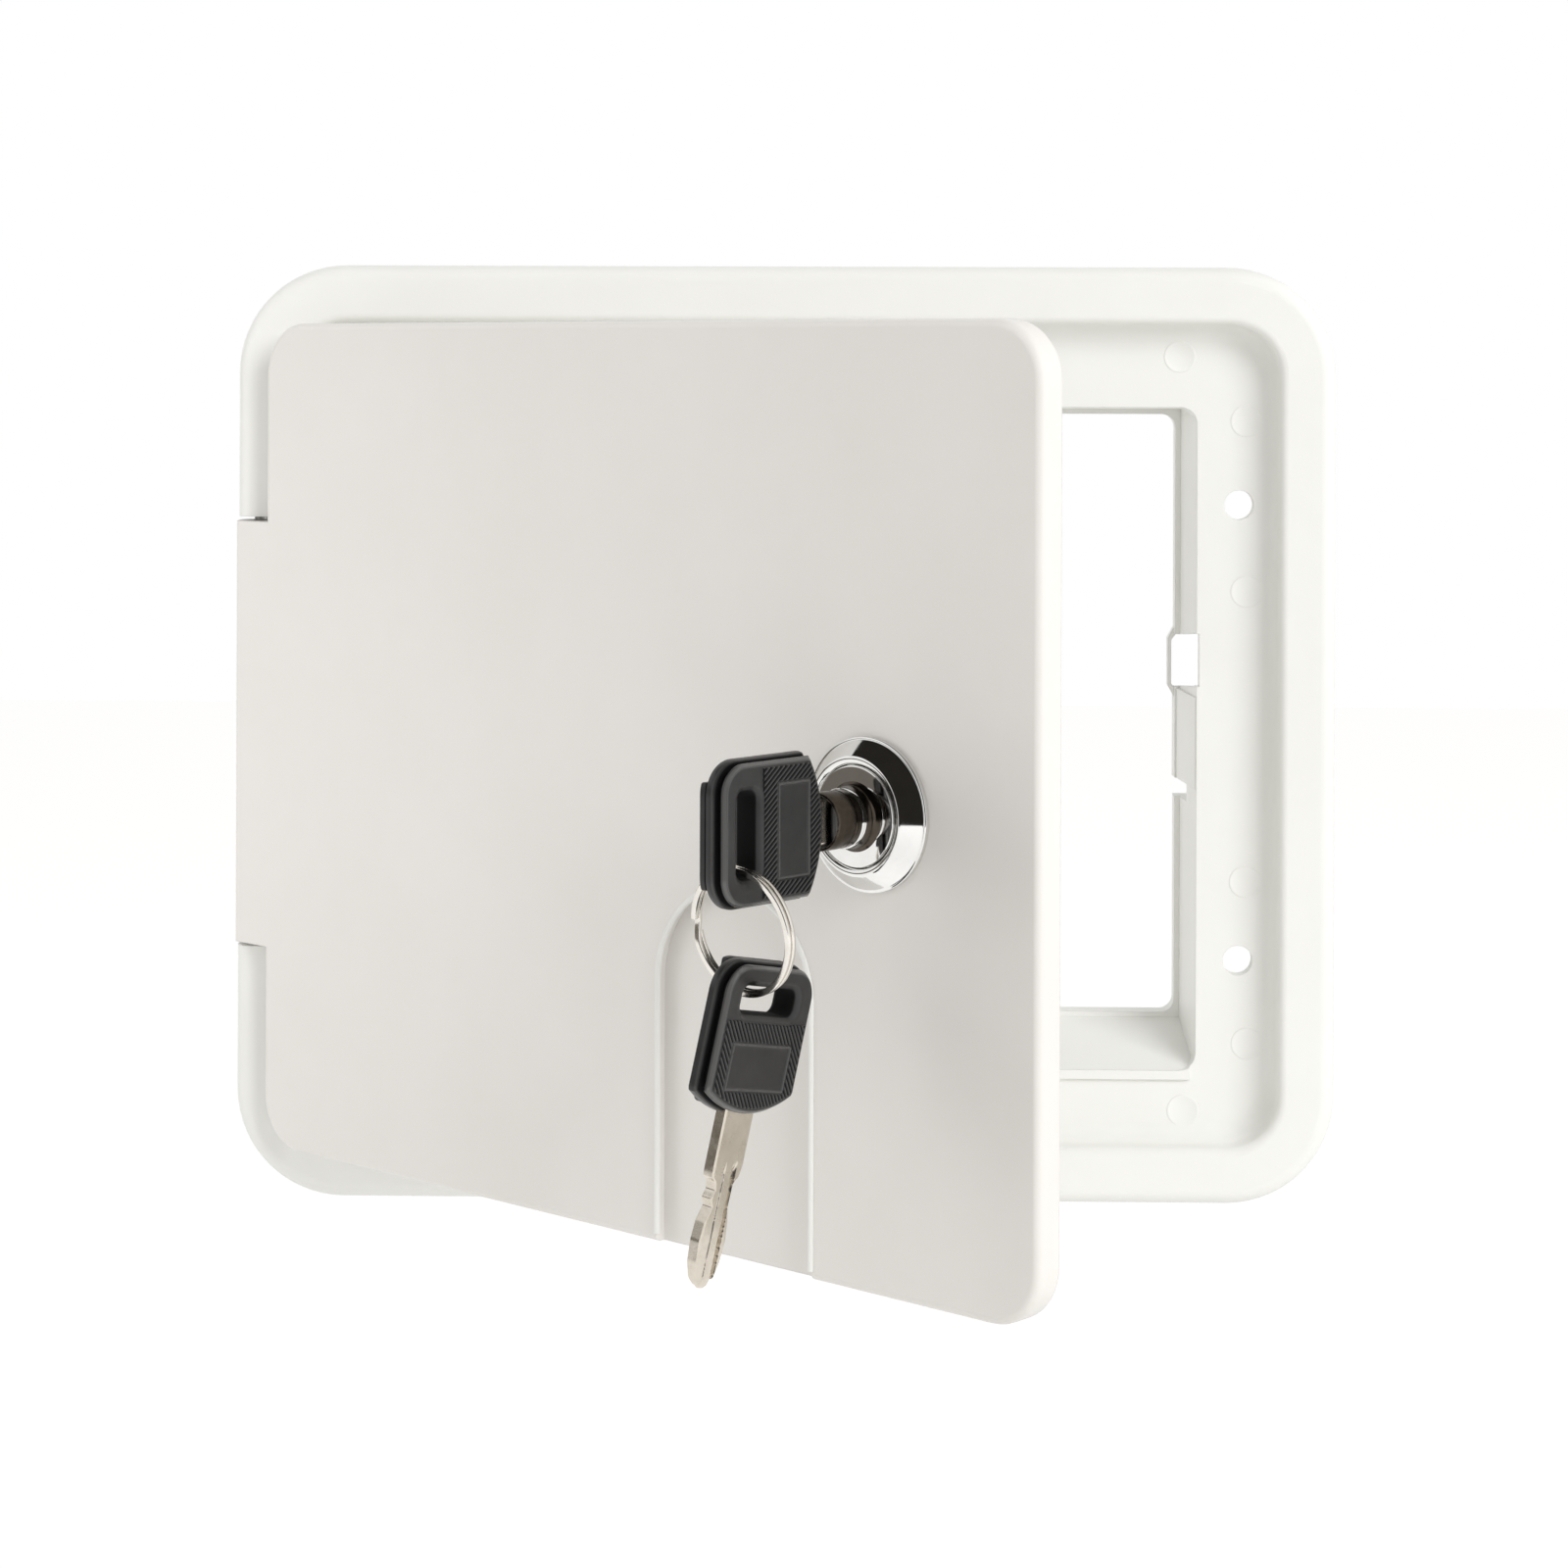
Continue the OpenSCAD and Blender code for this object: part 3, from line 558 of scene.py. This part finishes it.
# Painted light on the key heads: near black in the recesses as painted shade, lighter on polished
# edges and rib tops as a painted highlight, glossier there too.
rubbing_and_painted_light(head_black, "Base Color", (0.001, 0.001, 0.001), (0.1, 0.1, 0.098))
rubbing_and_painted_light(head_black, "Roughness", 1.0, 0.16)


def rounded_box(x, y, x0, x1, y0, y1, r):
    """Signed distance to a rectangle with rounded corners, negative inside."""
    dx = np.abs(x - (x0 + x1) / 2) - (x1 - x0) / 2 + r
    dy = np.abs(y - (y0 + y1) / 2) - (y1 - y0) / 2 + r
    outside = np.hypot(np.maximum(dx, 0), np.maximum(dy, 0))
    return outside + np.minimum(np.maximum(dx, dy), 0) - r


def head_edge(x, y):
    """Signed distance to the head's outline: rounded corners by the slot, a bowed blade side."""
    bow = np.hypot(x, y - bow_r) - bow_r
    body = rounded_box(x, y, -head_w / 2, head_w / 2, -30, head_l, corner_r)
    return np.maximum(bow, body)


def slot_edge(x, y):
    """Signed distance to the slot's outline, negative inside the slot."""
    return rounded_box(x, y, -slot_h / 2, slot_h / 2, slot_y, slot_y + slot_w, slot_r)


def reach(shape, level, angle):
    """How far from the slot's middle each direction goes before the distance is level,
    found by halving."""
    near, far = np.zeros_like(angle), np.full_like(angle, 40.0)
    for _ in range(44):
        middle = (near + far) / 2
        inside = shape(middle * np.cos(angle), slot_y + slot_w / 2 + middle * np.sin(angle)) < level
        near, far = np.where(inside, middle, near), np.where(inside, far, middle)
    return near


def back_edge(x, y):
    """Signed distance to the back plate's outline: as the head's, but narrower."""
    half = head_w / 2 - back_in
    return np.maximum(head_edge(x, y), rounded_box(x, y, -half, half, back_from, 40, back_r))


def head_rows():
    """Rows round the slot's middle, each at one offset of an outline and one height, from the
    slot's front edge over the front plate, the layered side and the back plate, and home
    through the slot. Each row has its material number: painted shade in the groove and the slot, a
    painted highlight on the front plate's chamfer."""
    angle = np.linspace(0, 2 * np.pi, 240, endpoint=False)
    # Each row's last number: -1 is painted shade (the groove, the slot), 1 a painted highlight (the
    # chamfer).
    side = [(1.15, -2.2, 0), (1.02, -2.18, 0.4), (0.8, -2.0, 1), (0.6, -1.76, 1), (0.5, -1.6, 0.4),
            (0.48, -1.42, 0), (0.6, -1.34, -1), (1.3, -1.3, -1), (1.3, -0.42, -1), (0.5, -0.4, -1),
            (0.22, -0.34, 0), (0.05, -0.14, 0.5), (0, 0.1, 0), (0, 0.8, 0), (0.08, 0.98, 0.2),
            (0.25, 1.08, 0), (0.5, 1.12, -0.4)]
    plate = [(0.06, 1.14, -0.4), (0.0, 1.3, 0), (0.0, 1.95, 0), (0.12, 2.12, 0.4), (0.3, 2.2, 0)]
    hole = [(0.3, 2.2, 0), (0.18, 2.16, 0), (0.03, 1.9, -0.6), (0.0, 1.6, -1), (0.0, -1.4, -1),
            (0.06, -1.6, -0.6), (0.2, -1.7, 0), (0.72, -2.14, 0.1), (0.88, -2.2, 0)]
    rows = [(reach(head_edge, -g, angle), z, w) for g, z, w in side]
    rows += [(reach(back_edge, -g, angle), z, w) for g, z, w in plate]
    rows += [(reach(slot_edge, g, angle), z, w) for g, z, w in hole]
    outer, half = len(side + plate), head_t / 2
    out_front, in_front = rows[0][0], rows[-1][0]
    out_back, in_back = rows[outer - 1][0], rows[outer][0]
    front = [(in_front + (out_front - in_front) * share, -half, 0) for share in (0.25, 0.5, 0.75)]
    back = [(out_back + (in_back - out_back) * share, half, 0) for share in (0.33, 0.66)]
    rows = front + rows[:outer] + back + rows[outer:]
    centre = slot_y + slot_w / 2
    grid = np.stack([np.stack([r * np.cos(angle), centre + r * np.sin(angle), 0 * r + z], -1)
                     for r, z, w in rows])
    return grid, [float(w) for r, z, w in rows]


rib_slant, rib_step, rib_high = 0.8, 0.8, 0.25
panel_half, panel_low, panel_top, panel_r = 6.7, 3.5, 10.2, 0.4


def relief_grid():
    """The front plate's pattern as a height over x and y: slanting ribs inside a margin, round
    a plain panel with a raised rim. Its border dips just under the plate. Also its material number:
    painted shade in the rib valleys and a little in the panel, a painted highlight on the rib tops
    and the rim."""
    x, share = np.meshgrid(np.linspace(-8.95, 8.95, 231), np.linspace(0, 1, 151))
    lowest = bow_r - np.sqrt((bow_r - 1.1) ** 2 - x * x)
    y = lowest + share * (13.0 - lowest)
    margin = np.maximum(head_edge(x, y) + 1.25, 1.0 - slot_edge(x, y))
    field = np.clip(-margin / 0.15, 0, 1)
    panel = rounded_box(x, y, -panel_half, panel_half, panel_low, panel_top, panel_r)
    around = np.clip(panel / 0.2, 0, 1)
    wave = 0.5 + 0.5 * np.cos(2 * np.pi * (x - rib_slant * y) / rib_step)
    rim = np.clip(1.3 - np.abs(panel + 0.3) / 0.22, 0, 1)
    inside = np.clip(-(panel + 0.7) / 0.2, 0, 1)
    height = field * (0.03 + rib_high * around * wave + 0.2 * rim) - (1 - field) * 0.08
    # Painted shade in the rib valleys and the panel, painted highlight on the rib tops and the rim.
    wear_and_painted_light = field * (around * np.clip(1.6 * wave - 1.15, -1, 0.45) + 0.5 * rim - 0.15 * inside)
    return x, y, height, wear_and_painted_light


def relief(name, place, body):
    """The pattern laid on the front plate, with its border turned down and closed below."""
    x, y, height, wear_and_painted_light = relief_grid()
    top = np.stack([x, y, -head_t / 2 - height], -1)
    rows, cols = x.shape
    index = np.arange(rows * cols).reshape(rows, cols)
    rim = np.r_[index[0, :-1], index[:-1, -1], index[-1, :0:-1], index[:0:-1, 0]]
    under = top.reshape(-1, 3)[rim] + np.array([0, 0, 0.5])
    points = place(np.r_[top.reshape(-1, 3), under])
    faces = quads(index)
    low = rows * cols + np.arange(len(rim))
    faces += np.stack([rim, np.roll(rim, -1), np.roll(low, -1), low], -1).tolist()
    faces.append(low.tolist())
    wear_and_painted_light = np.r_[wear_and_painted_light.ravel(), np.zeros(len(rim))]
    shell(name, points, faces, wear_and_painted_light, 60, False, body, head_black)


layers, layer_wear_and_painted_light = head_rows()
head = skin("key_head_layers", in_lock(layers), "plug_body", head_black,
            loop=True, wear_and_painted_light=layer_wear_and_painted_light)
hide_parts("key_head")
relief("key_head_pattern", in_lock, "plug_body")

# Split ring: flat nickel-plated wire wound in two turns, one behind the other, that crosses
# over at the left. It hangs through the slot of the key in the lock.
ring_r, ring_t, ring_w, ring_play = 9.0, 0.9, 1.5, 0.45
ring_drop = math.sqrt((ring_r - ring_t) ** 2 - head_t ** 2 / 4)
ring_mid = ring_r - ring_t / 2
ring_tilt = math.radians(8)
ring_top_v = lock_v - slot_h / 2 + ring_play - ring_drop + ring_mid
foot_v = ring_top_v - 2 * ring_mid * math.cos(ring_tilt)
hang_n = lid_face + head_n + slot_y + slot_w / 2
foot_n = hang_n - 2 * ring_mid * math.sin(ring_tilt)
ring_nickel = metal("ring_nickel", (0.86, 0.83, 0.78), (0.78, 0.74, 0.68), 0.003,
                    (0.12, 0.22), 0.0005, 0.000003, 0)


def ring_rows():
    """A flat wire's rounded section carried round two turns, sliding from the back turn to the
    front one where they cross, with blunt ends."""
    start, length, slide_from, slide_over = 186, 708, 348, 26
    turn = np.linspace(np.radians(start), np.radians(start + length), 260)
    slide = np.clip((turn - np.radians(start + slide_from)) / np.radians(slide_over), 0, 1)
    slide = slide * slide * (3 - 2 * slide)
    wire = ring_w / 2 - 0.03
    height = (slide - 0.5) * (ring_w - wire)
    angle = np.linspace(0, 2 * np.pi, 24, endpoint=False)
    across = np.sign(np.cos(angle)) * np.abs(np.cos(angle)) ** 0.45 * ring_t / 2
    up = np.sign(np.sin(angle)) * np.abs(np.sin(angle)) ** 0.45 * wire / 2
    radius = ring_mid + across
    v = radius * np.sin(turn)[:, None] - ring_mid
    n = height[:, None] + up
    u = radius * np.cos(turn)[:, None]
    c, s = math.cos(ring_tilt), math.sin(ring_tilt)
    return np.stack([u + lock_u, v * c - n * s + ring_top_v, v * s + n * c + hang_n], -1)


ring = skin("split_ring", on_lid(ring_rows()), "ring_body", ring_nickel)
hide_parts("key_ring")

# Spare key: the same key again, hanging from the ring by its slot, tilted a little outward.
spare_v = foot_v + ring_mid - ring_drop + ring_play
spare_x, spare_u = 3.4, lock_u - 0.4
tilt, lean, turn_in = math.radians(12), math.radians(5), math.radians(5)


def on_ring(points):
    """A key's own mm hung from the bottom of the ring, made metres: turned about its length,
    then leant sideways, then tilted."""
    x, y, z = np.moveaxis(points + np.array([-spare_x, -slot_y - slot_w, 0]), -1, 0)
    for_turn = turn_in - math.pi / 2

    def turned(a, b, angle):
        """Two of the coordinates turned by an angle."""
        return a * math.cos(angle) + b * math.sin(angle), -a * math.sin(angle) + b * math.cos(angle)

    x, z = turned(x, z, for_turn)
    x, y = turned(x, y, lean)
    y, z = turned(y, z, tilt)
    return on_lid(np.stack([x, y, z], -1) + np.array([spare_u, spare_v, foot_n]))


spare_blade = skin("spare_blade_cut", on_ring(blade_rows()), "spare_key_body", nickel)
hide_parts("spare_key_blade")
spare_head = skin("spare_head_layers", on_ring(layers), "spare_key_body",
                  head_black, loop=True, wear_and_painted_light=layer_wear_and_painted_light)
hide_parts("spare_key_head")
relief("spare_head_pattern", on_ring, "spare_key_body")
